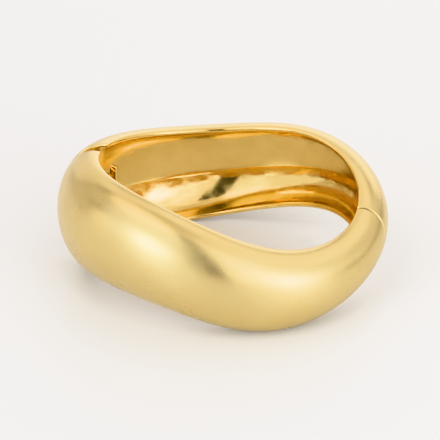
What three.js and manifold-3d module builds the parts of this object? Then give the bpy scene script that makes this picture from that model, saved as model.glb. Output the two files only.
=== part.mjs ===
// A hinged bangle: two puffed half shells of thin metal, open on the inside, that meet
// at a plain seam and swing on a pin at the other end.
//
// Units are millimetres and +Z is up. +X points from the hinge to the seam, and +Y to the
// back half. The bangle lies on z = 0, and its bounding box is centred on the Z axis.

import * as THREE from 'three';
import { mergeVertices } from 'three/addons/utils/BufferGeometryUtils.js';
import Module from 'manifold-3d';

// ---------------------------------------------------------------- driving dimensions

// The inner rim, seen from above, is an ellipse round the wrist.
const INNER_HALF_LENGTH = 30;
const INNER_HALF_DEPTH = 24.8;
const RING_CENTRE = new THREE.Vector2(1.59, -0.73);

// The rims rise and fall in waves round the bangle. Each row is one wave: how often it
// repeats in a turn, and its cosine and sine shares in the top rim, the bottom rim and
// the puff, which is what the dome stands out beyond PUFF_PER_WIDTH of the band's width.
const WAVES = [
  { repeats: 0, topCos: 25.4, topSin: 0.0, bottomCos: 3.53, bottomSin: 0.0, puffCos: 0.0, puffSin: 0.0 },
  { repeats: 1, topCos: -3.8, topSin: 0.7, bottomCos: 2.0, bottomSin: 0.8, puffCos: 0.8, puffSin: 0.8 },
  { repeats: 2, topCos: -0.4, topSin: 3.2, bottomCos: 0.7, bottomSin: 3.3, puffCos: 0.0, puffSin: 0.0 },
  { repeats: 3, topCos: -0.3, topSin: 0.5, bottomCos: 0.6, bottomSin: 0.4, puffCos: 0.0, puffSin: 0.0 },
];
const PUFF_PER_WIDTH = 0.36;

const WALL = 1.2; // thickness of the metal
const RIM_LAND = 1.1; // level strip along each rim, before the dome begins

// The closed ends of each half.
const SEAM_GAP = 0.3;
const SEAM_PLATE_ANGLE = 2.5; // degrees of turn that the end plate at the seam fills
const HINGE_PLATE_ANGLE = 4.5; // and the one at the hinge

// The hinge, placed by how far its pin stands out from the inner rim.
const PIN_OFFSET = 7.6;
const PIN_RADIUS = 0.8;
const BORE_CLEARANCE = 0.25;
const KNUCKLE_RADIUS = 1.7;
const KNUCKLE_CLEARANCE = 0.3;
const BARREL_BOTTOM = 10.4;
const KNUCKLE_HEIGHT = 3.4;
const OPENING_ANGLE = 40; // degrees that the front half swings
const HINGE_GAP_AT_PIN = 0.5; // full width of the gap between the halves
const HINGE_GAP_AT_RIM = 2.5;

// The peg that lines the halves up at the seam, and its socket.
const PEG_RADIUS = 1.2;
const PEG_LENGTH = 1.2;
const PEG_OFFSET = 3.6;
const PEG_CLEARANCE = 0.3;

// The spring box beside the hinge, inside the back half, and the rib that keeps it there.
const SPRING_BOX = { angle: 166.5, offset: 5.0, thickness: 5.2, length: 5.2, bottom: 10.5, height: 9.6 };
const KEEPER_RIB = { angle: 159, offset: 5.4, thickness: 7.0, length: 1.1, bottom: 10.5, height: 9.6 };

// How finely curves are faceted.
const ANGLE_STEP = 5; // degrees between sections
const DOME_FACETS = 14;
const HOLLOW_FACETS = 12;
const RIM_FACETS = 4;
const ROUND_SIDES = 16;

// ---------------------------------------------------------------- the bangle's form

const wasm = await Module();
wasm.setup();

const radians = THREE.MathUtils.degToRad;

// Where the band is at one angle: a point of the inner rim, the way out from it, the
// height of the band's middle, half the band's height, and the depth of the dome.
function bandAt(degrees) {
  const angle = radians(degrees);
  const rim = new THREE.Vector2(Math.cos(angle), Math.sin(angle));
  rim.divideScalar(Math.hypot(rim.x / INNER_HALF_LENGTH, rim.y / INNER_HALF_DEPTH));
  const outward = new THREE.Vector2(rim.x / INNER_HALF_LENGTH ** 2, rim.y / INNER_HALF_DEPTH ** 2);
  let top = 0;
  let bottom = 0;
  let puff = 0;
  for (const wave of WAVES) {
    const cosine = Math.cos(wave.repeats * angle);
    const sine = Math.sin(wave.repeats * angle);
    top += wave.topCos * cosine + wave.topSin * sine;
    bottom += wave.bottomCos * cosine + wave.bottomSin * sine;
    puff += wave.puffCos * cosine + wave.puffSin * sine;
  }
  return {
    rim: rim.add(RING_CENTRE),
    outward: outward.normalize(),
    middle: (top + bottom) / 2,
    halfHeight: (top - bottom) / 2,
    puff: puff + PUFF_PER_WIDTH * (top - bottom),
  };
}

// Half an ellipse round a centre. It bulges to +X where radiusX is positive, and runs
// upwards where radiusY is.
function arc(centreX, centreY, radiusX, radiusY, facets) {
  const points = [];
  for (let i = 0; i <= facets; i += 1) {
    const turn = (Math.PI * i) / facets;
    const x = centreX + radiusX * Math.sin(turn);
    points.push(new THREE.Vector2(x, centreY - radiusY * Math.cos(turn)));
  }
  return points;
}

// Sections are outlines run counter-clockwise: X is how far out from the inner rim a point
// is, and Y how far above the middle of the band.

// A band that is domed outside and flat inside, with half-round rims.
function closedSection(puff, halfHeight) {
  const rimRadius = WALL / 2;
  const rimHeight = halfHeight - rimRadius;
  return [
    ...arc(RIM_LAND, 0, puff, halfHeight, DOME_FACETS),
    ...arc(rimRadius, rimHeight, -rimRadius, -rimRadius, RIM_FACETS),
    ...arc(rimRadius, -rimHeight, -rimRadius, -rimRadius, RIM_FACETS),
  ];
}

// The hollow that is taken out of it, with a mouth that runs past the band's inner face.
function hollowSection(puff, halfHeight) {
  const start = WALL / 2;
  const mouthX = start - 2 * WALL;
  const mouthY = halfHeight - 2 * WALL;
  return [
    ...arc(start, 0, RIM_LAND + puff - WALL - start, halfHeight - WALL, HOLLOW_FACETS),
    new THREE.Vector2(mouthX, mouthY),
    new THREE.Vector2(mouthX, -mouthY),
  ];
}

// The angles of the sections from first to last, both of which are included.
function sectionAngles(first, last) {
  const angles = [first];
  for (let angle = 0; angle < 360; angle += ANGLE_STEP) {
    if (angle > first && angle < last) angles.push(angle);
  }
  angles.push(last);
  return angles;
}

// A solid with that section at each angle from first to last.
function sweep(section, first, last) {
  const bands = sectionAngles(first, last).map(bandAt);
  const outlines = bands.map((band) => section(band.puff, band.halfHeight));
  const count = outlines[0].length;
  const end = (bands.length - 1) * count;
  const positions = [];
  const indices = [];
  for (const [ring, band] of bands.entries()) {
    for (const point of outlines[ring]) {
      const place = band.rim.clone().addScaledVector(band.outward, point.x);
      positions.push(place.x, place.y, band.middle + point.y);
    }
  }
  for (let ring = 0; ring < end; ring += count) {
    for (let i = 0; i < count; i += 1) {
      const a = ring + i;
      const b = ring + ((i + 1) % count);
      indices.push(a, a + count, b, b, a + count, b + count);
    }
  }
  for (const [a, b, c] of THREE.ShapeUtils.triangulateShape(outlines[0], [])) {
    indices.push(a, b, c);
  }
  for (const [a, b, c] of THREE.ShapeUtils.triangulateShape(outlines.at(-1), [])) {
    indices.push(end + a, end + c, end + b);
  }
  const geometry = new THREE.BufferGeometry();
  geometry.setAttribute('position', new THREE.Float32BufferAttribute(positions, 3));
  geometry.setIndex(indices);
  return toSolid(geometry);
}

// ---------------------------------------------------------------- solids

function toSolid(source) {
  const geometry = source.clone();
  geometry.deleteAttribute('normal');
  geometry.deleteAttribute('uv');
  const merged = mergeVertices(geometry, 1e-4);
  const mesh = new wasm.Mesh({
    numProp: 3,
    vertProperties: new Float32Array(merged.attributes.position.array),
    triVerts: new Uint32Array(merged.index.array),
  });
  return new wasm.Manifold(mesh);
}

function toGeometry(solid) {
  const mesh = solid.getMesh();
  const geometry = new THREE.BufferGeometry();
  geometry.setAttribute('position', new THREE.BufferAttribute(new Float32Array(mesh.vertProperties), 3));
  geometry.setIndex(new THREE.BufferAttribute(new Uint32Array(mesh.triVerts), 1));
  geometry.computeVertexNormals();
  return geometry;
}

// An upright cylinder round the hinge's axis.
function hingeCylinder(radius, bottom, height) {
  const geometry = new THREE.CylinderGeometry(radius, radius, height, ROUND_SIDES);
  geometry.rotateX(Math.PI / 2);
  geometry.translate(PIN.x, PIN.y, bottom + height / 2);
  return geometry;
}

// A cylinder across the seam, along Y.
function seamCylinder(radius, nearY, farY) {
  const band = bandAt(0);
  const geometry = new THREE.CylinderGeometry(radius, radius, farY - nearY, ROUND_SIDES);
  geometry.translate(band.rim.x + PEG_OFFSET, (nearY + farY) / 2, band.middle);
  return toSolid(geometry);
}

// A block that follows the band at one angle.
function blockAt({ angle, offset, thickness, length, bottom, height }) {
  const band = bandAt(angle);
  const centre = band.rim.clone().addScaledVector(band.outward, offset);
  const geometry = new THREE.BoxGeometry(thickness, length, height);
  geometry.rotateZ(band.outward.angle());
  geometry.translate(centre.x, centre.y, bottom + height / 2);
  return geometry;
}

// ---------------------------------------------------------------- the two halves

const PIN = bandAt(180).rim.clone().add(new THREE.Vector2(-PIN_OFFSET, 0));
const ABOVE = 45; // past the highest rim
const CUT_REACH = 14; // past the band on either side

// What separates the halves at the hinge. The gap narrows from the inner rim to the pin,
// and beyond the pin it widens again by the angle that the front half swings.
function hingeCut() {
  const pinHalf = HINGE_GAP_AT_PIN / 2;
  const rimHalf = HINGE_GAP_AT_RIM / 2;
  const innerHalf = pinHalf + ((rimHalf - pinHalf) * CUT_REACH) / PIN_OFFSET;
  const outerHalf = pinHalf + CUT_REACH * Math.tan(radians(OPENING_ANGLE / 2 + 0.5));
  const outline = new THREE.Shape([
    new THREE.Vector2(CUT_REACH, -innerHalf),
    new THREE.Vector2(CUT_REACH, innerHalf),
    new THREE.Vector2(0, pinHalf),
    new THREE.Vector2(-CUT_REACH, outerHalf),
    new THREE.Vector2(-CUT_REACH, -outerHalf),
    new THREE.Vector2(0, -pinHalf),
  ]);
  const geometry = new THREE.ExtrudeGeometry(outline, { depth: ABOVE, bevelEnabled: false });
  geometry.translate(PIN.x, PIN.y, -1);
  return toSolid(geometry);
}

function seamCut() {
  const geometry = new THREE.BoxGeometry(2 * CUT_REACH, SEAM_GAP, 2 * ABOVE);
  geometry.translate(bandAt(0).rim.x + RIM_LAND, RING_CENTRE.y, 0);
  return toSolid(geometry);
}

// One half: the closed band from first to last, hollowed between its end plates.
function halfShell(first, last, firstPlate, lastPlate) {
  return sweep(closedSection, first, last)
    .subtract(sweep(hollowSection, first + firstPlate, last - lastPlate))
    .subtract(hingeCut())
    .subtract(seamCut());
}

// The hinge's barrel is three knuckles. The back half has the outer two.
const knuckles = [0, 1, 2].map((place) => ({
  onFront: place === 1,
  bottom: BARREL_BOTTOM + place * KNUCKLE_HEIGHT,
}));

// Joins a half's own knuckles to it, and cuts room for the other half's.
function addKnuckles(half, isFront) {
  let solid = half;
  for (const knuckle of knuckles) {
    if (knuckle.onFront === isFront) continue;
    const room = hingeCylinder(
      KNUCKLE_RADIUS + KNUCKLE_CLEARANCE,
      knuckle.bottom - KNUCKLE_CLEARANCE / 2,
      KNUCKLE_HEIGHT + KNUCKLE_CLEARANCE,
    );
    solid = solid.subtract(toSolid(room));
  }
  for (const knuckle of knuckles) {
    if (knuckle.onFront !== isFront) continue;
    const ring = hingeCylinder(
      KNUCKLE_RADIUS,
      knuckle.bottom + KNUCKLE_CLEARANCE / 2,
      KNUCKLE_HEIGHT - KNUCKLE_CLEARANCE,
    );
    solid = solid.add(toSolid(ring));
  }
  return solid.subtract(toSolid(hingeCylinder(PIN_RADIUS + BORE_CLEARANCE, 0, ABOVE)));
}

const seamY = RING_CENTRE.y;
const peg = seamCylinder(PEG_RADIUS, seamY - SEAM_GAP / 2 - WALL / 2, seamY - SEAM_GAP / 2 + PEG_LENGTH);
const socket = seamCylinder(
  PEG_RADIUS + PEG_CLEARANCE,
  seamY - SEAM_GAP,
  seamY - SEAM_GAP / 2 + PEG_LENGTH + PEG_CLEARANCE,
);

const frontHalf = addKnuckles(halfShell(180, 360, HINGE_PLATE_ANGLE, SEAM_PLATE_ANGLE), true).add(peg);
const backHalf = addKnuckles(halfShell(0, 180, SEAM_PLATE_ANGLE, HINGE_PLATE_ANGLE), false)
  .subtract(socket)
  .add(toSolid(blockAt(KEEPER_RIB)));

const barrelHeight = knuckles.length * KNUCKLE_HEIGHT;
const pinGeometry = hingeCylinder(PIN_RADIUS, BARREL_BOTTOM, barrelHeight);

// ---------------------------------------------------------------- the assembly

const satinGold = { color: 0xdfc184, metalness: 1, roughness: 0.32 };
const polishedGold = { color: 0xd9a441, metalness: 1, roughness: 0.12 };

function piece(name, geometry, finish) {
  const mesh = new THREE.Mesh(geometry, new THREE.MeshStandardMaterial(finish));
  mesh.name = name;
  return mesh;
}

const bangle = new THREE.Group();
bangle.name = 'bangle';
bangle.add(
  piece('front_half', toGeometry(frontHalf), satinGold),
  piece('back_half', toGeometry(backHalf), satinGold),
  piece('hinge_pin', pinGeometry, polishedGold),
  piece('spring_box', blockAt(SPRING_BOX), polishedGold),
);

export default bangle;
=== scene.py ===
"""A hinged bangle in two puffed half shells, satin outside and polished inside.

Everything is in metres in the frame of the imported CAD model, which has +Z up. +X points
from the hinge to the seam, and +Y to the back half. Lengths that are easier to read in
millimetres are written as a number times MM.
"""

import math

import bmesh
import bpy
import numpy as np
from bpy.props import FloatProperty, FloatVectorProperty, IntProperty, PointerProperty
from mathutils import Matrix, Vector, noise


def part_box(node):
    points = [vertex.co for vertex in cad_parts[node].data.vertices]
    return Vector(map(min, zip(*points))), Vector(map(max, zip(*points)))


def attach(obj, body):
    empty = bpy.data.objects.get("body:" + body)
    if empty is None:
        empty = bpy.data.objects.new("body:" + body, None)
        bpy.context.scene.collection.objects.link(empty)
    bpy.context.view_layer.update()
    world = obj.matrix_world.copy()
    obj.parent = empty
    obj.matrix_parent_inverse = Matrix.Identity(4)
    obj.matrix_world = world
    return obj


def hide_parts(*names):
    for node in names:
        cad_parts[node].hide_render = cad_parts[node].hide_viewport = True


bl_info = {
    "name": "Hinged Bangle",
    "version": (1, 0, 0),
    "blender": (4, 5, 0),
    "location": "View3D > Sidebar > Bangle",
    "description": "Builds a hinged bangle around its CAD frame, with its finishes and a studio",
    "category": "Add Mesh",
}

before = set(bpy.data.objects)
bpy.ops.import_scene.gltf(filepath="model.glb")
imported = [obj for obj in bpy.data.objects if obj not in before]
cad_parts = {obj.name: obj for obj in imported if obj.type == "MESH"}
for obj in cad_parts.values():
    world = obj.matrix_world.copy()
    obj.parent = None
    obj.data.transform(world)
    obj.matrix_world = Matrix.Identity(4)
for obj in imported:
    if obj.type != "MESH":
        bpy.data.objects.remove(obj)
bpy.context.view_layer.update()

MM = 0.001
TINY = 1e-9  # keeps a division from failing at zero

# ---------------------------------------------------------------- named sizes

RING_CENTRE = np.array((1.59, -0.73)) * MM  # the middle of the wrist opening
MEAN_RADIUS = 34 * MM  # of the band, seen from above

# The rims rise and fall in waves round the bangle. Each row is one wave: how often it
# repeats in a turn, and its cosine and sine shares in the top rim, the bottom rim and the
# puff, which is what the dome stands out beyond its share of the band's width.
WAVES = (
    (0, (25.4, 0.0), (3.53, 0.0), (0.0, 0.0)),
    (1, (-3.8, 0.7), (2.0, 0.8), (0.8, 0.8)),
    (2, (-0.4, 3.2), (0.7, 3.3), (0.0, 0.0)),
    (3, (-0.3, 0.5), (0.6, 0.4), (0.0, 0.0)),
)
TOP, BOTTOM, PUFF = 1, 2, 3  # columns of the waves

# Angles run from the seam through the back half to the hinge, and on through the front half.
SEAM_ANGLE, HINGE_ANGLE, FULL_TURN = 0, 180, 360
SEAM_GAP = 0.3 * MM

# End plates, and the degrees of the band that each fills.
SEAM_PLATE_ANGLE = 2.5
HINGE_PLATE_ANGLES = (4.5, 9.5)  # of the front and of the back half
HINGE_PLATE_HOLLOW = 1.7 * MM  # how far a plate's inner edge bends in at the hinge
PLATE_EDGE_POWER = 0.7  # how squarely it bends, 1 for a sine
INNER_ROUNDING = 0.2  # how much of the edges' rounding is left at a plate's inner edge

# How much squarer the hollow's roof is at the seam than halfway round.
HOLLOW_ROOF_CHANGE = 2.1
# How tightly the hollow follows the dome's own outline where it would come too close.
HOLLOW_EASE = 14
# Where the hollow of the back half gets deeper, over how many degrees, and how much of the
# step is added on the seam's side. The rest is taken off on the hinge's side.
HOLLOW_STEP_ANGLE = 106
HOLLOW_STEP_SPREAD = 13
HOLLOW_STEP_SHARE = 0.25
HOLLOW_FADE = 6  # degrees over which the step and the dents fade out towards a plate

# The dents are noise: how soft it is, how much finer each layer is, and how many there are.
DENT_LAYERS = (0.6, 2.2, 4)
# Flatter streaks are added to them, from another place in the noise.
STREAK_SHARE = 0.5
STREAK_FLATNESS = 4
STREAK_SHIFT = Vector((7, 3, 5))

# The pin's axis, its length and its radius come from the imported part.
PIN_LOW, PIN_HIGH = (np.array(corner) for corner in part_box("hinge_pin"))
PIN_AXIS = (PIN_LOW + PIN_HIGH)[:2] / 2
PIN_RADIUS = (PIN_HIGH - PIN_LOW)[0] / 2
PIN_EDGE = 0.2 * MM
BORE_CLEARANCE = 0.25 * MM
KNUCKLE_RADIUS = 1.7 * MM
KNUCKLE_EDGE = 0.2 * MM
KNUCKLE_CLEARANCE = 0.3 * MM
KNUCKLE_COUNT = 3
FRONT_KNUCKLES, BACK_KNUCKLES = (1,), (0, 2)  # counted from the bottom
OPENING_ANGLE = 40
OPENING_SPARE = 1  # degrees more that the halves' ends leave room for
HINGE_GAP_AT_PIN = 0.5 * MM
HINGE_GAP_AT_RIM = (1.25 * MM, 4.0 * MM)  # from its middle to the front and the back half

PEG_RADIUS = 1.2 * MM
PEG_LENGTH = 0.9 * MM
PEG_EDGE = 0.35 * MM
PEG_OFFSET = 3.6 * MM  # from the inner rim out to its axis
PEG_CLEARANCE = 0.3 * MM
UPRIGHT_TO_Y = Matrix.Rotation(-math.pi / 2, 3, "X")

# Blocks inside the back half, each at one angle of the band. The distance out is from the
# inner rim to the block's middle.
SPRING_BOX = {
    "angle": 166.2,
    "out": 5.3 * MM,
    "thickness": 5.2 * MM,
    "length": 5.2 * MM,
    "bottom": 10.5 * MM,
    "height": 7.0 * MM,
    "edge": 0.5 * MM,
}
KEEPER_RIB = {
    "angle": 159.6,
    "out": 3.6 * MM,
    "thickness": 2.0 * MM,
    "length": 1.0 * MM,
    "bottom": 10.5 * MM,
    "height": 8.3 * MM,
    "edge": 0.25 * MM,
}

# How finely the pieces are meshed.
RIM_FACETS = 8
HOLLOW_STEPS = 170
EDGE_TURNS = np.radians((90, 72, 54, 36, 18, 0))  # over a rounded edge of a half
PLATE_SHARES = (0.25, 0.5, 0.75, 1)  # through an end plate
TURNED_SIDES = 48
ROUNDED_STEPS = 4
WELD_DISTANCE = 1e-7
SHARP_ANGLE = math.radians(35)
# Where an outline point meets a half's end face is searched over this many degrees.
SEARCH_ANGLE = 12
SEARCH_ROUNDS = 40

SATIN, POLISHED = 0, 1  # places in a shell's list of materials


class BangleForm(bpy.types.PropertyGroup):
    """Sizes of the bangle and how finely it is meshed."""

    half_length: FloatProperty(
        name="Inner Half Length",
        description="Half the inside of the bangle from hinge to seam",
        default=30 * MM,
        unit="LENGTH",
    )
    half_depth: FloatProperty(
        name="Inner Half Depth",
        description="Half the inside of the bangle from front to back",
        default=24.8 * MM,
        unit="LENGTH",
    )
    puff_share: FloatProperty(
        name="Puff per Width",
        description="How far the dome stands out for each unit of the band's width",
        default=0.36,
    )
    wall: FloatProperty(
        name="Wall", description="Thickness of the metal", default=1.2 * MM, unit="LENGTH"
    )
    rim_land: FloatProperty(
        name="Rim Land",
        description="Level strip along each rim before the dome begins",
        default=1.1 * MM,
        unit="LENGTH",
    )
    hollow_waist: FloatProperty(
        name="Hollow Waist",
        description="How far above the middle the hollow is deepest, in half heights",
        default=-0.29,
    )
    hollow_roof_squareness: FloatProperty(
        name="Hollow Roof Squareness",
        description="Power of the curve above the waist, 2 for an ellipse",
        default=4.0,
    )
    flange_start: FloatProperty(
        name="Flange Start",
        description="Slope of the hollow's flange where it leaves the waist",
        default=math.radians(20),
        subtype="ANGLE",
    )
    flange_end: FloatProperty(
        name="Flange End",
        description="Slope of the hollow's flange at the bottom rim",
        default=math.radians(84),
        subtype="ANGLE",
    )
    flange_bend: FloatProperty(
        name="Flange Bend",
        description="How much of the flange's turn comes near the bottom rim, 1 for an arc",
        default=1.8,
    )
    hollow_overhang: FloatProperty(
        name="Hollow Overhang",
        description="How far the hollow's wall leans in towards its top, as a share of its depth",
        default=0.3,
        subtype="FACTOR",
    )
    hollow_depth: FloatProperty(
        name="Hollow Depth",
        description="Depth of the hollow as a share of the dome's",
        default=0.93,
        subtype="FACTOR",
    )
    hollow_step: FloatProperty(
        name="Hollow Step",
        description="How much deeper the hollow's back is on the seam's side",
        default=1.6 * MM,
        unit="LENGTH",
    )
    seam_round: FloatProperty(
        name="Seam Rounding",
        description="Radius of the halves' edges at the seam",
        default=0.32 * MM,
        unit="LENGTH",
    )
    hinge_round: FloatProperty(
        name="Hinge Rounding",
        description="Radius of the halves' edges at the hinge",
        default=0.5 * MM,
        unit="LENGTH",
    )
    fillet: FloatProperty(
        name="Solder Fillet",
        description="Radius between the hollow and its end plates",
        default=0.9 * MM,
        unit="LENGTH",
    )
    dent_depth: FloatProperty(
        name="Dent Depth",
        description="How deep the casting's dents are in the hollow",
        default=0.03 * MM,
        unit="LENGTH",
    )
    dent_size: FloatProperty(
        name="Dent Size",
        description="Width of one dent in the hollow",
        default=5.0 * MM,
        unit="LENGTH",
    )
    dome_facets: IntProperty(
        name="Dome Facets", description="Facets across the dome, an even number", default=64
    )


class BangleFinish(bpy.types.PropertyGroup):
    """Colours and gloss of the two finishes."""

    satin_colour: FloatVectorProperty(
        name="Satin Gold",
        description="Colour of the satin outside",
        subtype="COLOR",
        size=4,
        min=0,
        max=1,
        default=(0.712, 0.55, 0.248, 1),
    )
    satin_shade: FloatVectorProperty(
        name="Satin Gold, Deeper",
        description="What the outside's colour wanders towards",
        subtype="COLOR",
        size=4,
        min=0,
        max=1,
        default=(0.693, 0.53, 0.23, 1),
    )
    satin_roughness: FloatProperty(
        name="Satin Roughness",
        description="How soft the outside's reflections are",
        default=0.29,
        subtype="FACTOR",
    )
    polished_colour: FloatVectorProperty(
        name="Polished Gold",
        description="Colour of the polished inside",
        subtype="COLOR",
        size=4,
        min=0,
        max=1,
        default=(0.88, 0.638, 0.24, 1),
    )
    polished_shade: FloatVectorProperty(
        name="Polished Gold, Deeper",
        description="What the inside's colour wanders towards",
        subtype="COLOR",
        size=4,
        min=0,
        max=1,
        default=(0.83, 0.588, 0.213, 1),
    )
    polished_roughness: FloatProperty(
        name="Polished Roughness",
        description="How soft the inside's reflections are",
        default=0.13,
        subtype="FACTOR",
    )


class BangleStudio(bpy.types.PropertyGroup):
    """The camera, the lights and the floor."""

    azimuth: FloatProperty(
        name="Azimuth",
        description="Turn of the camera round the bangle",
        default=math.radians(12.6),
        subtype="ANGLE",
    )
    elevation: FloatProperty(
        name="Elevation",
        description="How far the camera looks down",
        default=math.radians(28.3),
        subtype="ANGLE",
    )
    distance: FloatProperty(
        name="Distance",
        description="From the camera to what it aims at",
        default=0.628,
        unit="LENGTH",
    )
    lens: FloatProperty(
        name="Lens", description="Focal length of the camera", default=221.3, unit="CAMERA"
    )
    floor_colour: FloatVectorProperty(
        name="Floor",
        description="Colour of the floor",
        subtype="COLOR",
        size=4,
        min=0,
        max=1,
        default=(0.7, 0.697, 0.694, 1),
    )
    floor_roughness: FloatProperty(
        name="Floor Roughness",
        description="How soft the floor's reflections are",
        default=0.45,
        subtype="FACTOR",
    )
    ambient: FloatProperty(
        name="Ambient", description="Brightness of the room", default=0.56
    )
    ambient_colour: FloatVectorProperty(
        name="Ambient Colour",
        description="Colour of the room's light",
        subtype="COLOR",
        size=4,
        min=0,
        max=1,
        default=(1, 0.9, 0.85, 1),
    )


# ---------------------------------------------------------------- the form of the band


def wave_height(column, angle):
    """How high the waves in that column of the table stand at those angles."""
    height = 0.0
    for wave in WAVES:
        repeats, (cosine, sine) = wave[0], wave[column]
        height = height + (cosine * np.cos(repeats * angle) + sine * np.sin(repeats * angle))
    return height * MM


def band_at(form, degrees):
    """Where the band is at an angle, or at each of several: a point of the inner rim, the way
    out from it, the height of its middle, half its height and the depth of its dome."""
    angle = np.radians(degrees)
    half = np.array((form.half_length, form.half_depth))
    rim = np.stack((np.cos(angle), np.sin(angle)), axis=-1)
    rim = rim / np.linalg.norm(rim / half, axis=-1, keepdims=True)
    outward = rim / half**2
    outward = outward / np.linalg.norm(outward, axis=-1, keepdims=True)
    top, bottom, puff = (wave_height(column, angle) for column in (TOP, BOTTOM, PUFF))
    return (
        rim + RING_CENTRE,
        outward,
        (top + bottom) / 2,
        (top - bottom) / 2,
        puff + form.puff_share * (top - bottom),
    )


def band_direction(form, degrees):
    """The way along the band at an angle."""
    outward = band_at(form, degrees)[1]
    return np.array((-outward[1], outward[0], 0))


# An outline is a row of section points. Each point has four numbers: how far out from the
# inner rim it is, as a length and a share of the puff, and how far above the middle of the
# band, as a length and a share of half the band's height.


def dome_outline(form):
    """Bottom to top over the outside."""
    turn = np.linspace(0, math.pi, form.dome_facets + 1)
    flat = np.zeros_like(turn)
    return np.stack((flat + form.rim_land, np.sin(turn), flat, -np.cos(turn)), axis=-1)


def rim_outline(form, side):
    """The half-round rim at the top or, with side -1, the bottom: outside to inside."""
    radius = form.wall / 2
    turn = np.linspace(0, math.pi, RIM_FACETS + 1)
    return np.stack(
        (
            radius - radius * np.sin(turn),
            np.zeros_like(turn),
            side * radius * (np.cos(turn) - 1),
            np.full_like(turn, side),
        ),
        axis=-1,
    )


def plate_edge_outline(form, depth):
    """Bottom to top along an end plate's inner edge, which bends in by depth."""
    turn = np.linspace(0, math.pi, form.dome_facets + 1)
    up = -np.cos(turn)
    out = form.wall / 2 + depth * np.sin(turn) ** PLATE_EDGE_POWER
    return np.stack((out, np.zeros_like(turn), -form.wall * up, up), axis=-1)


def hollow_outline(form, degrees):
    """Bottom to top over the inside of the dome at that angle: a flange that slopes out from
    the bottom rim, and a flatter wall that leans in again towards the top rim."""
    steps = form.dome_facets // 2
    waist = form.hollow_waist
    share = np.linspace(0, 1, steps + 1) ** form.flange_bend
    slope = form.flange_start + (form.flange_end - form.flange_start) * share
    slope = (slope[1:] + slope[:-1]) / 2
    inwards = np.cumsum(np.sin(slope))
    down = np.cumsum(np.cos(slope))
    flange_out = 1 - inwards / inwards[-1]
    flange_up = waist - (1 + waist) * down / down[-1]

    seamward, middling = math.cos(math.radians(degrees)), math.sin(math.radians(degrees)) ** 2
    power = 2 / (form.hollow_roof_squareness + HOLLOW_ROOF_CHANGE * seamward)
    turn = np.linspace(0, math.pi / 2, steps + 1)
    rise = np.sin(turn) ** power
    wall_out = np.abs(np.cos(turn)) ** power * (1 - form.hollow_overhang * middling * rise)
    wall_up = waist + (1 - waist) * rise

    out = np.concatenate((flange_out[::-1], wall_out))
    up = np.concatenate((flange_up[::-1], wall_up))
    # It keeps under the dome, whose outline is half an ellipse.
    dome = np.sqrt(np.maximum(1 - up**2, 0))
    nearer = np.minimum(out, dome)
    ratio = nearer / np.maximum(np.maximum(out, dome), TINY)
    out = nearer / (1 + ratio**HOLLOW_EASE) ** (1 / HOLLOW_EASE)
    inside = form.wall / 2
    return np.stack(
        (
            inside + (form.rim_land - form.wall - inside) * out,
            form.hollow_depth * out,
            -form.wall * up,
            up,
        ),
        axis=-1,
    )


def place(form, outline, degrees, inset=0.0):
    """The outline's points at one angle, or at an angle each, moved into the metal by
    inset."""
    rim, outward, middle, half_height, puff = band_at(form, degrees)
    out = outline[:, 0] + outline[:, 1] * puff
    up = outline[:, 2] + outline[:, 3] * half_height
    if np.any(inset):
        along = np.stack((np.roll(out, -1) - np.roll(out, 1), np.roll(up, -1) - np.roll(up, 1)))
        along /= np.linalg.norm(along, axis=0)
        out = out - along[1] * inset
        up = up + along[0] * inset
    flat = rim + outward * out[:, None]
    return np.column_stack((flat, middle + up))


# ---------------------------------------------------------------- meshing


class Skin:
    """Gathers patches of a mesh, which are welded where they meet. A finish is a place in the
    list of materials."""

    def __init__(self):
        self.points = []
        self.faces = []
        self.finishes = []

    def patch(self, points, faces, finishes):
        """Adds faces on points of their own, with one finish or one for each face."""
        start = len(self.points)
        self.points.extend(points)
        self.faces.extend([start + corner for corner in face] for face in faces)
        self.finishes.extend([finishes] * len(faces) if isinstance(finishes, int) else finishes)

    def grid(self, rows, finishes, closed=False):
        """Adds faces between each row of points and the next, with one finish or one for each
        step along a row."""
        count = len(rows[0])
        steps = count if closed else count - 1
        faces = []
        for row in range(len(rows) - 1):
            for step in range(steps):
                here, beside = row * count + step, row * count + (step + 1) % count
                faces.append((here, here + count, beside + count, beside))
        if isinstance(finishes, int):
            finishes = [finishes] * steps
        self.patch(np.concatenate(rows), faces, finishes * (len(rows) - 1))

    def build(self, name, materials):
        """Makes an object of what was gathered."""
        mesh = bpy.data.meshes.new(name)
        mesh.from_pydata([tuple(point) for point in self.points], [], self.faces)
        mesh.polygons.foreach_set("material_index", self.finishes)
        return finish_mesh(name, mesh, materials)


def shade(mesh):
    """Shades a mesh smoothly but for its sharp edges."""
    mesh.polygons.foreach_set("use_smooth", [True] * len(mesh.polygons))
    mesh.set_sharp_from_angle(angle=SHARP_ANGLE)


def finish_mesh(name, mesh, materials):
    """Welds the mesh, turns its faces outwards, shades it and links an object for it."""
    for material in materials:
        mesh.materials.append(material)
    work = bmesh.new()
    work.from_mesh(mesh)
    bmesh.ops.remove_doubles(work, verts=work.verts, dist=WELD_DISTANCE)
    bmesh.ops.dissolve_degenerate(work, edges=work.edges, dist=WELD_DISTANCE)
    bmesh.ops.recalc_face_normals(work, faces=work.faces)
    work.to_mesh(mesh)
    work.free()
    shade(mesh)
    piece = bpy.data.objects.new(name, mesh)
    bpy.context.scene.collection.objects.link(piece)
    return piece


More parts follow.
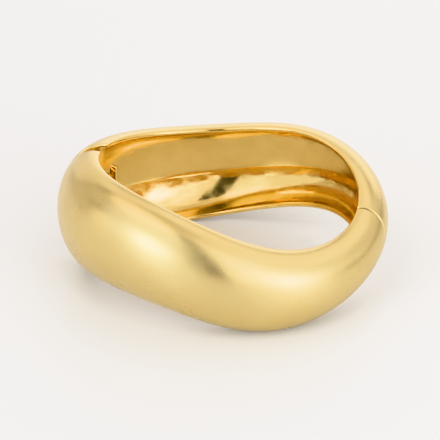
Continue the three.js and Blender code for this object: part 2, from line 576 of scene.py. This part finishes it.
def lathe(skin, profile, centre, finish=0, tilt=None):
    """Turns a profile of radius and height round an upright axis through centre, or round a
    tilted one. A profile that ends where it began makes a tube."""
    turns = np.linspace(0, 2 * math.pi, TURNED_SIDES, endpoint=False)
    rows = []
    for radius, height in profile:
        level = np.full(TURNED_SIDES, height)
        row = np.column_stack((radius * np.cos(turns), radius * np.sin(turns), level))
        if tilt is not None:
            row = row @ np.array(tilt).T
        rows.append(row + np.array(centre))
    skin.grid(rows, finish, closed=True)


def rounded_rod(radius, bottom, top, edge):
    """The profile of a rod with rounded ends."""
    lower = []
    for turn in np.linspace(0, math.pi / 2, ROUNDED_STEPS + 1):
        across = radius - edge + edge * math.sin(turn)
        lower.append((across, bottom + edge - edge * math.cos(turn)))
    upper = [(across, bottom + top - height) for across, height in reversed(lower)]
    return [(0, bottom), *lower, *upper, (0, top)]


def rounded_tube(outer, inner, bottom, top, edge):
    """The profile of a tube with rounded outer edges."""
    rod = rounded_rod(outer, bottom, top, edge)[1:-1]
    return [(inner, bottom), *rod, (inner, top), (inner, bottom)]


def block(name, form, materials, angle, out, thickness, length, bottom, height, edge):
    """A block with rounded edges that follows the band at one angle."""
    rim, outward, _, _, _ = band_at(form, angle)
    centre = rim + outward * out
    turn = math.atan2(outward[1], outward[0])
    work = bmesh.new()
    bmesh.ops.create_cube(work, size=1)
    bmesh.ops.scale(work, vec=(thickness, length, height), verts=work.verts)
    bmesh.ops.bevel(
        work,
        geom=work.edges,
        offset=edge,
        segments=ROUNDED_STEPS,
        profile=0.5,
        affect="EDGES",
    )
    bmesh.ops.rotate(work, matrix=Matrix.Rotation(turn, 3, "Z"), verts=work.verts)
    bmesh.ops.translate(work, vec=(*centre, bottom + height / 2), verts=work.verts)
    mesh = bpy.data.meshes.new(name)
    work.to_mesh(mesh)
    work.free()
    return finish_mesh(name, mesh, materials)


def cut(piece, cutter):
    """Takes the cutter out of the piece, and removes the cutter."""
    boolean = piece.modifiers.new("cut", "BOOLEAN")
    boolean.operation = "DIFFERENCE"
    boolean.solver = "EXACT"
    boolean.object = cutter
    bpy.context.view_layer.update()
    evaluated = piece.evaluated_get(bpy.context.evaluated_depsgraph_get())
    mesh = bpy.data.meshes.new_from_object(evaluated)
    if not mesh.polygons:
        raise RuntimeError(f"nothing is left of {piece.name} after {cutter.name} is cut out")
    piece.modifiers.clear()
    piece.data = mesh
    shade(mesh)
    bpy.data.objects.remove(cutter)


# ---------------------------------------------------------------- the halves


class HalfEnd:
    """Where a half ends, at the hinge or at the seam, and the end plate there."""

    def __init__(self, form, back, at_hinge):
        self.back = back
        self.at_hinge = at_hinge
        # The half lies at greater angles than this end, or at smaller ones.
        self.inwards = 1 if back != at_hinge else -1
        if at_hinge:
            self.cut_angle = HINGE_ANGLE
            plate_width = HINGE_PLATE_ANGLES[back]
            self.radius = form.hinge_round
            self.plate_hollow = HINGE_PLATE_HOLLOW
        else:
            self.cut_angle = SEAM_ANGLE if back else FULL_TURN
            plate_width = SEAM_PLATE_ANGLE
            self.radius = form.seam_round
            self.plate_hollow = 0
        self.plate_angle = self.cut_angle + self.inwards * plate_width
        # The hinge's gap widens evenly from the pin to the inner rim.
        pin_to_rim = RING_CENTRE[0] - form.half_length - PIN_AXIS[0]
        self.gap_slope = (HINGE_GAP_AT_RIM[back] - HINGE_GAP_AT_PIN / 2) / pin_to_rim

    def gap(self, points):
        """From the middle line to the half's face, at each point."""
        if not self.at_hinge:
            return SEAM_GAP / 2
        beyond = points[:, 0] - PIN_AXIS[0]
        at_pin = HINGE_GAP_AT_PIN / 2
        widening = math.tan(math.radians((OPENING_ANGLE + OPENING_SPARE) / 2))
        return np.where(beyond > 0, at_pin + beyond * self.gap_slope, at_pin - beyond * widening)

    def inside(self, points):
        """How far points are inside the half, measured along Y from its face."""
        across = points[:, 1] - RING_CENTRE[1]
        return (across if self.back else -across) - self.gap(points)


def angles_inside(form, outline, end, distance):
    """For each outline point, the angle at which it is that far inside the half."""
    low = np.full(len(outline), float(end.cut_angle))
    high = low + end.inwards * SEARCH_ANGLE
    for _ in range(SEARCH_ROUNDS):
        middle = (low + high) / 2
        inside = end.inside(place(form, outline, middle)) > distance
        high = np.where(inside, middle, high)
        low = np.where(inside, low, middle)
    return (low + high) / 2


def end_rings(form, outline, rounding, end):
    """Rings from a half's end face to the inner side of its end plate, over an edge that is
    rounded by its share at each point of the outline."""
    rings = []
    for turn in EDGE_TURNS:
        angles = angles_inside(form, outline, end, end.radius * (1 - math.sin(turn)))
        inset = end.radius * (1 - math.cos(turn)) * rounding
        rings.append(place(form, outline, angles, inset))
    # The plate goes on from the last of these rings.
    for share in PLATE_SHARES:
        rings.append(place(form, outline, angles + (end.plate_angle - angles) * share))
    return rings


def add_end(skin, form, end, hollow_ring):
    """Adds one end of a half: its rounded edge, its face, and the inner side of its end plate
    as far as the hollow's ring."""
    dome = dome_outline(form)
    top_rim = rim_outline(form, 1)
    bottom_rim = rim_outline(form, -1)[::-1]
    edge = plate_edge_outline(form, end.plate_hollow)
    outline = np.concatenate((dome, top_rim, edge[-2:0:-1], bottom_rim))
    rim_steps = [POLISHED] * (len(top_rim) - 1)
    edge_steps = [POLISHED] * (len(edge) - 1)
    steps = [*[SATIN] * len(dome), *rim_steps, *edge_steps, *rim_steps, SATIN]
    rim_rounding = np.linspace(1, INNER_ROUNDING, len(top_rim))
    edge_rounding = np.full(len(edge) - 2, INNER_ROUNDING)
    rounding = (np.ones(len(dome)), rim_rounding, edge_rounding, rim_rounding[::-1])
    rings = end_rings(form, outline, np.concatenate(rounding), end)
    skin.grid(rings, steps, closed=True)

    face = rings[0]
    top = list(range(len(dome), len(dome) + len(top_rim)))
    bottom = list(range(len(outline) - len(bottom_rim), len(outline)))
    corners = [(len(dome) - 1, top[0], top[-1]), (bottom[0], bottom[-1], 0)]
    skin.patch(face, [top, bottom, *corners], POLISHED)
    skin.grid([face[: len(dome)], face[top[-1] : bottom[0] + 1][::-1]], POLISHED)
    skin.grid([place(form, edge, end.plate_angle), hollow_ring], POLISHED)


def dents(form, points, strength):
    """How far the dents left from casting and hand polishing move each point."""
    shifts = []
    for point, share in zip(points, strength):
        shift = noise.fractal(Vector(point) / form.dent_size, *DENT_LAYERS)
        flattened = Vector((point[0], point[1], point[2] * STREAK_FLATNESS)) / form.dent_size
        shift += STREAK_SHARE * noise.noise(flattened + STREAK_SHIFT)
        shifts.append(shift * share * form.dent_depth)
    return np.array(shifts)


def hollow_lean(form, degrees):
    """How far out the step moves the hollow at that angle, which is in the back half only."""
    if degrees >= HINGE_ANGLE:
        return 0
    past_step = (1 + math.tanh((degrees - HOLLOW_STEP_ANGLE) / HOLLOW_STEP_SPREAD)) / 2
    return form.hollow_step * (HOLLOW_STEP_SHARE - past_step)


def hollow_rings(form, first, last):
    """The angles and the rings of the hollow from one end plate to the other, with a fillet at
    each."""
    share = np.sin(np.linspace(0, math.pi, form.dome_facets + 1))
    arc = math.degrees(form.fillet / form.half_length)
    turns = EDGE_TURNS[:-1]
    starts = [(first + arc * (1 - math.sin(turn)), 1 - math.cos(turn)) for turn in turns]
    ends = [(last - arc * (1 - math.sin(turn)), 1 - math.cos(turn)) for turn in turns[::-1]]
    middle = np.linspace(first + arc, last - arc, HOLLOW_STEPS + 1)
    stations = starts + [(angle, 0) for angle in middle] + ends
    rings = []
    for angle, inset in stations:
        smooth = place(form, hollow_outline(form, angle), angle)
        fade = min(1, (angle - first) / HOLLOW_FADE, (last - angle) / HOLLOW_FADE)
        shift = (hollow_lean(form, angle) * fade - inset * form.fillet) * share
        shift += dents(form, smooth, share * fade)
        across = np.cross(band_direction(form, angle), np.gradient(smooth, axis=0))
        across /= np.linalg.norm(across, axis=1, keepdims=True)
        rings.append(smooth + across * shift[:, None])
    return [angle for angle, _ in stations], rings


def half_shell(form, name, back, materials):
    """One half: its dome and rims, its two end plates and the hollow between them."""
    first, last = (HalfEnd(form, back, at_hinge) for at_hinge in (not back, back))
    angles, hollow = hollow_rings(form, first.plate_angle, last.plate_angle)
    skin = Skin()
    add_end(skin, form, first, hollow[0])
    add_end(skin, form, last, hollow[-1])

    dome = dome_outline(form)
    strip = np.concatenate((rim_outline(form, -1)[::-1], dome, rim_outline(form, 1)))
    rim_steps = [POLISHED] * RIM_FACETS
    strip_steps = [*rim_steps, *[SATIN] * (len(dome) + 1), *rim_steps]
    skin.grid([place(form, strip, angle) for angle in angles], strip_steps)
    skin.grid(hollow, POLISHED)
    return skin.build(name, materials)


def knuckle_heights(knuckle):
    """Bottom and top of one knuckle's share of the barrel."""
    height = (PIN_HIGH[2] - PIN_LOW[2]) / KNUCKLE_COUNT
    bottom = PIN_LOW[2] + knuckle * height
    return bottom, bottom + height


def cut_barrel_room(piece, owned):
    """Drills a half for the pin, and clears room for the knuckles that aren't its own."""
    bore = PIN_RADIUS + BORE_CLEARANCE
    room = KNUCKLE_RADIUS + KNUCKLE_CLEARANCE
    spare = KNUCKLE_CLEARANCE / 2
    profile = []
    for knuckle in range(KNUCKLE_COUNT):
        bottom, top = knuckle_heights(knuckle)
        if knuckle in owned:
            profile += [(bore, bottom + spare), (bore, top - spare)]
        else:
            profile += [(room, bottom - spare), (room, top + spare)]
    profile = [(0, profile[0][1]), *profile, (0, profile[-1][1])]
    skin = Skin()
    lathe(skin, profile, (*PIN_AXIS, 0), POLISHED)
    cut(piece, skin.build("barrel_room", piece.data.materials))


def knuckles(name, owned, materials):
    """The tubes of the barrel that belong to one half."""
    skin = Skin()
    bore = PIN_RADIUS + BORE_CLEARANCE
    spare = KNUCKLE_CLEARANCE / 2
    for knuckle in owned:
        bottom, top = knuckle_heights(knuckle)
        profile = rounded_tube(KNUCKLE_RADIUS, bore, bottom + spare, top - spare, KNUCKLE_EDGE)
        lathe(skin, profile, (*PIN_AXIS, 0))
    return skin.build(name, materials)


def peg_centre(form):
    """The middle of the peg where it leaves the front half's face."""
    rim, _, middle, _, _ = band_at(form, 0)
    return rim[0] + PEG_OFFSET, RING_CENTRE[1] - SEAM_GAP / 2, middle


# ---------------------------------------------------------------- finishes

OUTSIDE, INSIDE = "brushed_outside", "polished_inside"

# The middle part of a noise, which the drifts spread over their whole range.
DRIFT_RANGE = (0.3, 0.7)
# How much glossier and how much duller each finish gets than its own roughness.
SATIN_DRIFT = (0.02, 0.03)
POLISHED_DRIFT = (0.03, 0.08)


def node_group(name, inputs, output, output_type="NodeSocketFloat"):
    """A shader node group with those inputs and one output, and its end nodes."""
    tree = bpy.data.node_groups.new(name, "ShaderNodeTree")
    for label, kind, value in inputs:
        socket = tree.interface.new_socket(label, in_out="INPUT", socket_type=kind)
        socket.default_value = value
    tree.interface.new_socket(output, in_out="OUTPUT", socket_type=output_type)
    return tree, tree.nodes.new("NodeGroupInput"), tree.nodes.new("NodeGroupOutput")


def set_input(tree, socket, value):
    """Gives an input a number, or links it to another node's socket."""
    if isinstance(value, (int, float)):
        socket.default_value = value
    else:
        tree.links.new(value, socket)


def math_node(tree, operation, first, second):
    """A math node on two values, each a socket or a number."""
    node = tree.nodes.new("ShaderNodeMath")
    node.operation = operation
    set_input(tree, node.inputs[0], first)
    set_input(tree, node.inputs[1], second)
    return node.outputs[0]


def square(tree, value):
    """A math node that multiplies a value by itself."""
    return math_node(tree, "MULTIPLY", value, value)


def drift(tree, spot_size, detail, low, high):
    """A value that wanders smoothly from low to high over the object, in spots of a size."""
    wander = tree.nodes.new("ShaderNodeTexNoise")
    wander.inputs["Detail"].default_value = detail
    place_on_object = tree.nodes.new("ShaderNodeTexCoord").outputs["Object"]
    tree.links.new(place_on_object, wander.inputs["Vector"])
    tree.links.new(math_node(tree, "DIVIDE", 1.0, spot_size), wander.inputs["Scale"])
    spread = tree.nodes.new("ShaderNodeMapRange")
    spread.interpolation_type = "SMOOTHSTEP"
    tree.links.new(wander.outputs["Fac"], spread.inputs["Value"])
    set_input(tree, spread.inputs["From Min"], DRIFT_RANGE[0])
    set_input(tree, spread.inputs["From Max"], DRIFT_RANGE[1])
    set_input(tree, spread.inputs["To Min"], low)
    set_input(tree, spread.inputs["To Max"], high)
    return spread.outputs["Result"]


def tone_drift():
    """A gold whose tone wanders between two colours."""
    tree, given, result = node_group(
        "Tone Drift",
        [
            ("Colour", "NodeSocketColor", (1, 1, 1, 1)),
            ("Shade", "NodeSocketColor", (0, 0, 0, 1)),
            ("Spot Size", "NodeSocketFloat", 0.01),
        ],
        "Colour",
        "NodeSocketColor",
    )
    mix = tree.nodes.new("ShaderNodeMix")
    mix.data_type = "RGBA"
    share = drift(tree, given.outputs["Spot Size"], detail=3, low=0.0, high=1.0)
    tree.links.new(share, mix.inputs["Factor"])
    tree.links.new(given.outputs["Colour"], mix.inputs["A"])
    tree.links.new(given.outputs["Shade"], mix.inputs["B"])
    tree.links.new(mix.outputs["Result"], result.inputs["Colour"])
    return tree


def gloss_drift():
    """A roughness that wanders between two values."""
    tree, given, result = node_group(
        "Gloss Drift",
        [
            ("Glossiest", "NodeSocketFloat", 0.1),
            ("Dullest", "NodeSocketFloat", 0.2),
            ("Spot Size", "NodeSocketFloat", 0.01),
        ],
        "Roughness",
    )
    glossiest, dullest = given.outputs["Glossiest"], given.outputs["Dullest"]
    gloss = drift(tree, given.outputs["Spot Size"], detail=5, low=glossiest, high=dullest)
    tree.links.new(gloss, result.inputs["Roughness"])
    return tree


def brushed_grain():
    """The height of fine streaks that run along the band."""
    tree, given, result = node_group(
        "Brushed Grain",
        [
            ("Streak Length", "NodeSocketFloat", 0.003),
            ("Streak Width", "NodeSocketFloat", 0.0002),
        ],
        "Height",
    )
    split = tree.nodes.new("ShaderNodeSeparateXYZ")
    place_on_object = tree.nodes.new("ShaderNodeTexCoord").outputs["Object"]
    tree.links.new(place_on_object, split.inputs[0])
    x = math_node(tree, "SUBTRACT", split.outputs["X"], float(RING_CENTRE[0]))
    y = math_node(tree, "SUBTRACT", split.outputs["Y"], float(RING_CENTRE[1]))
    turn = math_node(tree, "ARCTAN2", y, x)
    along = math_node(tree, "MULTIPLY", turn, MEAN_RADIUS)
    far = math_node(tree, "POWER", math_node(tree, "ADD", square(tree, x), square(tree, y)), 0.5)
    streaks = tree.nodes.new("ShaderNodeCombineXYZ")
    length, width = given.outputs["Streak Length"], given.outputs["Streak Width"]
    tree.links.new(math_node(tree, "DIVIDE", along, length), streaks.inputs["X"])
    tree.links.new(math_node(tree, "DIVIDE", far, width), streaks.inputs["Y"])
    tree.links.new(math_node(tree, "DIVIDE", split.outputs["Z"], width), streaks.inputs["Z"])
    grain = tree.nodes.new("ShaderNodeTexNoise")
    grain.inputs["Scale"].default_value = 1
    grain.inputs["Detail"].default_value = 2
    tree.links.new(streaks.outputs[0], grain.inputs["Vector"])
    tree.links.new(grain.outputs["Fac"], result.inputs["Height"])
    return tree


EFFECTS = {"Tone Drift": tone_drift, "Gloss Drift": gloss_drift, "Brushed Grain": brushed_grain}


class Gold:
    """A metal material and what is added to it."""

    def __init__(self, name, colour, roughness):
        self.material = bpy.data.materials.new(name)
        self.material.use_nodes = True
        self.tree = self.material.node_tree
        self.shader = self.tree.nodes["Principled BSDF"]
        self.shader.inputs["Base Color"].default_value = colour
        self.shader.inputs["Metallic"].default_value = 1
        self.shader.inputs["Roughness"].default_value = roughness

    def effect(self, name, settings):
        """Places a shared effect, which is built the first time."""
        node = self.tree.nodes.new("ShaderNodeGroup")
        node.node_tree = bpy.data.node_groups.get(name) or EFFECTS[name]()
        for label, value in settings.items():
            node.inputs[label].default_value = value
        return node.outputs[0]

    def tone(self, colour, shade, spot_size):
        """Lets the colour wander towards a deeper shade."""
        settings = {"Colour": colour, "Shade": shade, "Spot Size": spot_size}
        drifting = self.effect("Tone Drift", settings)
        self.tree.links.new(drifting, self.shader.inputs["Base Color"])

    def gloss(self, glossiest, dullest, spot_size):
        """Lets the roughness wander between two values."""
        settings = {"Glossiest": glossiest, "Dullest": dullest, "Spot Size": spot_size}
        drifting = self.effect("Gloss Drift", settings)
        self.tree.links.new(drifting, self.shader.inputs["Roughness"])

    def streaks(self, length, width, depth, strength):
        """Raises streaks along the band, over what is raised already."""
        node = self.tree.nodes.new("ShaderNodeBump")
        node.inputs["Distance"].default_value = depth
        node.inputs["Strength"].default_value = strength
        settings = {"Streak Length": length, "Streak Width": width}
        self.tree.links.new(self.effect("Brushed Grain", settings), node.inputs["Height"])
        normal = self.shader.inputs["Normal"]
        if normal.is_linked:
            self.tree.links.new(normal.links[0].from_socket, node.inputs["Normal"])
        self.tree.links.new(node.outputs["Normal"], normal)


def satin_gold(finish):
    """The outside: a fine, even satin with a trace of brushing along the band."""
    roughness = finish.satin_roughness
    gold = Gold(OUTSIDE, finish.satin_colour, roughness)
    gold.tone(finish.satin_colour, finish.satin_shade, spot_size=9 * MM)
    gold.gloss(roughness - SATIN_DRIFT[0], roughness + SATIN_DRIFT[1], spot_size=6 * MM)
    gold.streaks(length=4 * MM, width=0.5 * MM, depth=0.0015 * MM, strength=0.3)
    return gold.material


def polished_gold(finish):
    """The inside, the rims and the hinge: polished by hand over the casting's skin, with
    ripples and fine scratches left."""
    roughness = finish.polished_roughness
    gold = Gold(INSIDE, finish.polished_colour, roughness)
    gold.tone(finish.polished_colour, finish.polished_shade, spot_size=4 * MM)
    gloss_range = (roughness - POLISHED_DRIFT[0], roughness + POLISHED_DRIFT[1])
    gold.gloss(*gloss_range, spot_size=2.5 * MM)
    gold.streaks(length=5 * MM, width=1.6 * MM, depth=0.03 * MM, strength=0.5)
    gold.streaks(length=2.5 * MM, width=0.2 * MM, depth=0.004 * MM, strength=0.6)
    return gold.material


def finishes():
    """The two golds, made once."""
    finish = bpy.context.scene.bangle_finish
    satin = bpy.data.materials.get(OUTSIDE) or satin_gold(finish)
    polished = bpy.data.materials.get(INSIDE) or polished_gold(finish)
    return [satin, polished]


# ---------------------------------------------------------------- operators


class BANGLE_OT_front_half(bpy.types.Operator):
    """Builds the front half, with its knuckle and the peg at its seam"""

    bl_idname = "bangle.front_half"
    bl_label = "Front Half"

    def execute(self, context):
        form = context.scene.bangle_form
        golds = finishes()
        shell = half_shell(form, "front_shell", False, golds)
        cut_barrel_room(shell, FRONT_KNUCKLES)
        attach(shell, "front")
        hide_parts("front_half")

        knuckle = knuckles("front_knuckle", FRONT_KNUCKLES, golds[POLISHED:])
        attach(knuckle, "front")

        skin = Skin()
        profile = rounded_rod(PEG_RADIUS, -form.wall / 2, PEG_LENGTH, PEG_EDGE)
        lathe(skin, profile, peg_centre(form), tilt=UPRIGHT_TO_Y)
        peg = skin.build("seam_peg", golds[POLISHED:])
        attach(peg, "front")
        return {"FINISHED"}


class BANGLE_OT_back_half(bpy.types.Operator):
    """Builds the back half, with its two knuckles, its socket and the rib in its hollow"""

    bl_idname = "bangle.back_half"
    bl_label = "Back Half"

    def execute(self, context):
        form = context.scene.bangle_form
        golds = finishes()
        shell = half_shell(form, "back_shell", True, golds)
        cut_barrel_room(shell, BACK_KNUCKLES)
        skin = Skin()
        depth = PEG_LENGTH + PEG_CLEARANCE
        radius = PEG_RADIUS + PEG_CLEARANCE
        profile = [(0, -SEAM_GAP), (radius, -SEAM_GAP), (radius, depth), (0, depth)]
        lathe(skin, profile, peg_centre(form), POLISHED, tilt=UPRIGHT_TO_Y)
        cut(shell, skin.build("socket", golds))
        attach(shell, "back")
        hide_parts("back_half")

        barrel = knuckles("back_knuckles", BACK_KNUCKLES, golds[POLISHED:])
        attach(barrel, "back")

        rib = block("keeper_rib", form, golds[POLISHED:], **KEEPER_RIB)
        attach(rib, "back")
        return {"FINISHED"}


class BANGLE_OT_hinge_pin(bpy.types.Operator):
    """Builds the pin that the halves swing on"""

    bl_idname = "bangle.hinge_pin"
    bl_label = "Hinge Pin"

    def execute(self, context):
        skin = Skin()
        profile = rounded_rod(PIN_RADIUS, PIN_LOW[2], PIN_HIGH[2], PIN_EDGE)
        lathe(skin, profile, (*PIN_AXIS, 0))
        pin = skin.build("pin", finishes()[POLISHED:])
        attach(pin, "back")
        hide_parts("hinge_pin")
        return {"FINISHED"}


class BANGLE_OT_spring_box(bpy.types.Operator):
    """Builds the spring box beside the hinge"""

    bl_idname = "bangle.spring_box"
    bl_label = "Spring Box"

    def execute(self, context):
        form = context.scene.bangle_form
        box = block("spring_cover", form, finishes()[POLISHED:], **SPRING_BOX)
        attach(box, "back")
        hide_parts("spring_box")
        return {"FINISHED"}


# Colours of light, as shares of its brightness.
COOL, NEARLY_WHITE, WHITE, WARM = (0.88, 1, 1.15), (0.96, 1, 1.04), (1, 1, 1), (1.08, 1, 0.87)
# Lights round the bangle: where each stands, as the angle round from the front and the
# angle up, its width and height as seen from the bangle, all in degrees, how bright it is
# and its colour. They are oval, and the softboxes have brighter ovals at their middles.
LIGHTS = (
    ("left_softbox", -38, 26, 66, 80, 0.65, COOL),
    ("left_softbox_centre", -32, 11, 22, 22, 10.5, COOL),
    ("left_softbox_top", -22, 46, 40, 42, 0.5, COOL),
    ("right_softbox", 54, 22, 48, 58, 0.9, COOL),
    ("right_softbox_middle", 54, 15, 30, 34, 3.3, NEARLY_WHITE),
    ("right_softbox_centre", 56, 14, 16, 20, 7.5, NEARLY_WHITE),
    ("right_softbox_edge", 31, 35, 26, 62, 1.0, WHITE),
    ("right_softbox_side", 30, 9, 20, 18, 1.0, WHITE),
    ("right_softbox_top", 75, 52, 40, 34, 0.4, NEARLY_WHITE),
    ("right_softbox_high", 45, 42, 36, 30, 0.3, WHITE),
    ("right_softbox_low", 60, 12, 50, 26, 0.15, WHITE),
    ("high_left", -55, 60, 50, 30, 1.4, WARM),
    ("overhead", 0, 90, 76, 76, 0.3, WARM),
    ("high_right", 125, 62, 60, 36, 0.5, NEARLY_WHITE),
    ("left_side", -92, 24, 44, 50, 0.1, WHITE),
    ("left_side_low", -72, 6, 24, 18, 0.9, WHITE),
    ("left_side_high", -96, 30, 28, 22, 0.25, WHITE),
    ("left_side_far", -110, 8, 40, 20, 0.25, WHITE),
    ("far_left", -140, 25, 40, 50, 0.6, WHITE),
    ("far_right", 110, 30, 60, 50, 0.5, NEARLY_WHITE),
    ("far_right_low", 90, 10, 40, 24, 0.2, WHITE),
    ("back_low", 175, 10, 60, 20, 1.3, WHITE),
    ("back_middle", 175, 22, 50, 26, 1.6, NEARLY_WHITE),
    ("back_high", 180, 62, 70, 34, 0.45, WHITE),
)
LIGHT_DISTANCE = 0.9
# Black cards, in the same way but for the brightness and the colour.
FLAGS = (("camera_flag", 11, 34, 16, 56),)
FLAG_DISTANCE = 0.8
STUDIO_AIM = Vector((0, 0, 15)) * MM  # what the lights and the cards face
CAMERA_AIM = Vector((-0.35, -1.16, 13.98)) * MM
FLOOR_SIZE = 8
BLACK = (0.02, 0.02, 0.02, 1)
BLACK_ROUGHNESS = 0.5


def stand(thing, aim, azimuth, elevation, distance):
    """Stands a thing that far from what it faces, in a direction from it given as the angle
    round from the front and the angle up, and links it."""
    towards = Vector(
        (
            math.sin(azimuth) * math.cos(elevation),
            -math.cos(azimuth) * math.cos(elevation),
            math.sin(elevation),
        )
    )
    thing.location = aim + towards * distance
    thing.rotation_euler = towards.to_track_quat("Z", "Y").to_euler()
    bpy.context.scene.collection.objects.link(thing)


def seen_size(degrees, distance):
    """The length that fills that angle at that distance."""
    return 2 * distance * math.tan(math.radians(degrees) / 2)


def oval_light(name, azimuth, elevation, width, height, radiance, colour):
    """An oval light that faces the bangle."""
    light = bpy.data.lights.new(name, "AREA")
    light.shape = "ELLIPSE"
    light.size = seen_size(width, LIGHT_DISTANCE)
    light.size_y = seen_size(height, LIGHT_DISTANCE)
    light.energy = radiance * math.pi * (math.pi / 4 * light.size * light.size_y)
    light.color = colour
    lamp = bpy.data.objects.new(name, light)
    lamp.visible_camera = False
    stand(lamp, STUDIO_AIM, math.radians(azimuth), math.radians(elevation), LIGHT_DISTANCE)


def sheet(name, width, height, material_name, colour, roughness):
    """A flat rectangle in one plain colour, which isn't linked yet."""
    material = bpy.data.materials.get(material_name) or bpy.data.materials.new(material_name)
    material.use_nodes = True
    shader = material.node_tree.nodes["Principled BSDF"]
    shader.inputs["Base Color"].default_value = colour
    shader.inputs["Roughness"].default_value = roughness
    mesh = bpy.data.meshes.new(name)
    x, y = width / 2, height / 2
    mesh.from_pydata([(-x, -y, 0), (x, -y, 0), (x, y, 0), (-x, y, 0)], [], [(0, 1, 2, 3)])
    mesh.materials.append(material)
    return bpy.data.objects.new(name, mesh)


def flag(name, azimuth, elevation, width, height):
    """A black card that faces the bangle, which only reflections show."""
    across, up = seen_size(width, FLAG_DISTANCE), seen_size(height, FLAG_DISTANCE)
    card = sheet(name, across, up, "black_card", BLACK, BLACK_ROUGHNESS)
    card.visible_camera = False
    card.visible_shadow = False
    card.visible_diffuse = False
    stand(card, STUDIO_AIM, math.radians(azimuth), math.radians(elevation), FLAG_DISTANCE)


class BANGLE_OT_studio(bpy.types.Operator):
    """Sets up the floor, the lights and the camera"""

    bl_idname = "bangle.studio"
    bl_label = "Studio"

    def execute(self, context):
        scene = context.scene
        studio = scene.bangle_studio
        scene.view_settings.view_transform = "Khronos PBR Neutral"

        paper = ("paper", studio.floor_colour, studio.floor_roughness)
        floor = sheet("floor", FLOOR_SIZE, FLOOR_SIZE, *paper)
        scene.collection.objects.link(floor)

        world = bpy.data.worlds.new("room")
        world.use_nodes = True
        background = world.node_tree.nodes["Background"]
        background.inputs["Color"].default_value = studio.ambient_colour
        background.inputs["Strength"].default_value = studio.ambient
        scene.world = world

        for light in LIGHTS:
            oval_light(*light)
        for card in FLAGS:
            flag(*card)

        camera = bpy.data.objects.new("camera", bpy.data.cameras.new("camera"))
        camera.data.lens = studio.lens
        stand(camera, CAMERA_AIM, studio.azimuth, studio.elevation, studio.distance)
        scene.camera = camera
        return {"FINISHED"}


class BANGLE_PT_sidebar(bpy.types.Panel):
    """Lists the steps that build the bangle"""

    bl_idname = "BANGLE_PT_sidebar"
    bl_label = "Hinged Bangle"
    bl_space_type = "VIEW_3D"
    bl_region_type = "UI"
    bl_category = "Bangle"

    def draw(self, context):
        layout = self.layout
        for step in STEPS:
            layout.operator(step.bl_idname)
        for settings in (
            context.scene.bangle_form,
            context.scene.bangle_finish,
            context.scene.bangle_studio,
        ):
            box = layout.box()
            for name in settings.__annotations__:
                box.prop(settings, name)


STEPS = (
    BANGLE_OT_front_half,
    BANGLE_OT_back_half,
    BANGLE_OT_hinge_pin,
    BANGLE_OT_spring_box,
    BANGLE_OT_studio,
)
SETTINGS = {
    "bangle_form": BangleForm,
    "bangle_finish": BangleFinish,
    "bangle_studio": BangleStudio,
}


def register():
    """Registers the classes and gives every scene its settings."""
    for kind in (*SETTINGS.values(), *STEPS, BANGLE_PT_sidebar):
        bpy.utils.register_class(kind)
    for name, kind in SETTINGS.items():
        setattr(bpy.types.Scene, name, PointerProperty(type=kind))


def unregister():
    """Takes back what register did."""
    for name in SETTINGS:
        delattr(bpy.types.Scene, name)
    for kind in reversed((*SETTINGS.values(), *STEPS, BANGLE_PT_sidebar)):
        bpy.utils.unregister_class(kind)


def main():
    """Builds the bangle and its studio."""
    register()
    bpy.ops.bangle.front_half()
    bpy.ops.bangle.back_half()
    bpy.ops.bangle.hinge_pin()
    bpy.ops.bangle.spring_box()
    bpy.ops.bangle.studio()


if __name__ == "__main__":
    main()
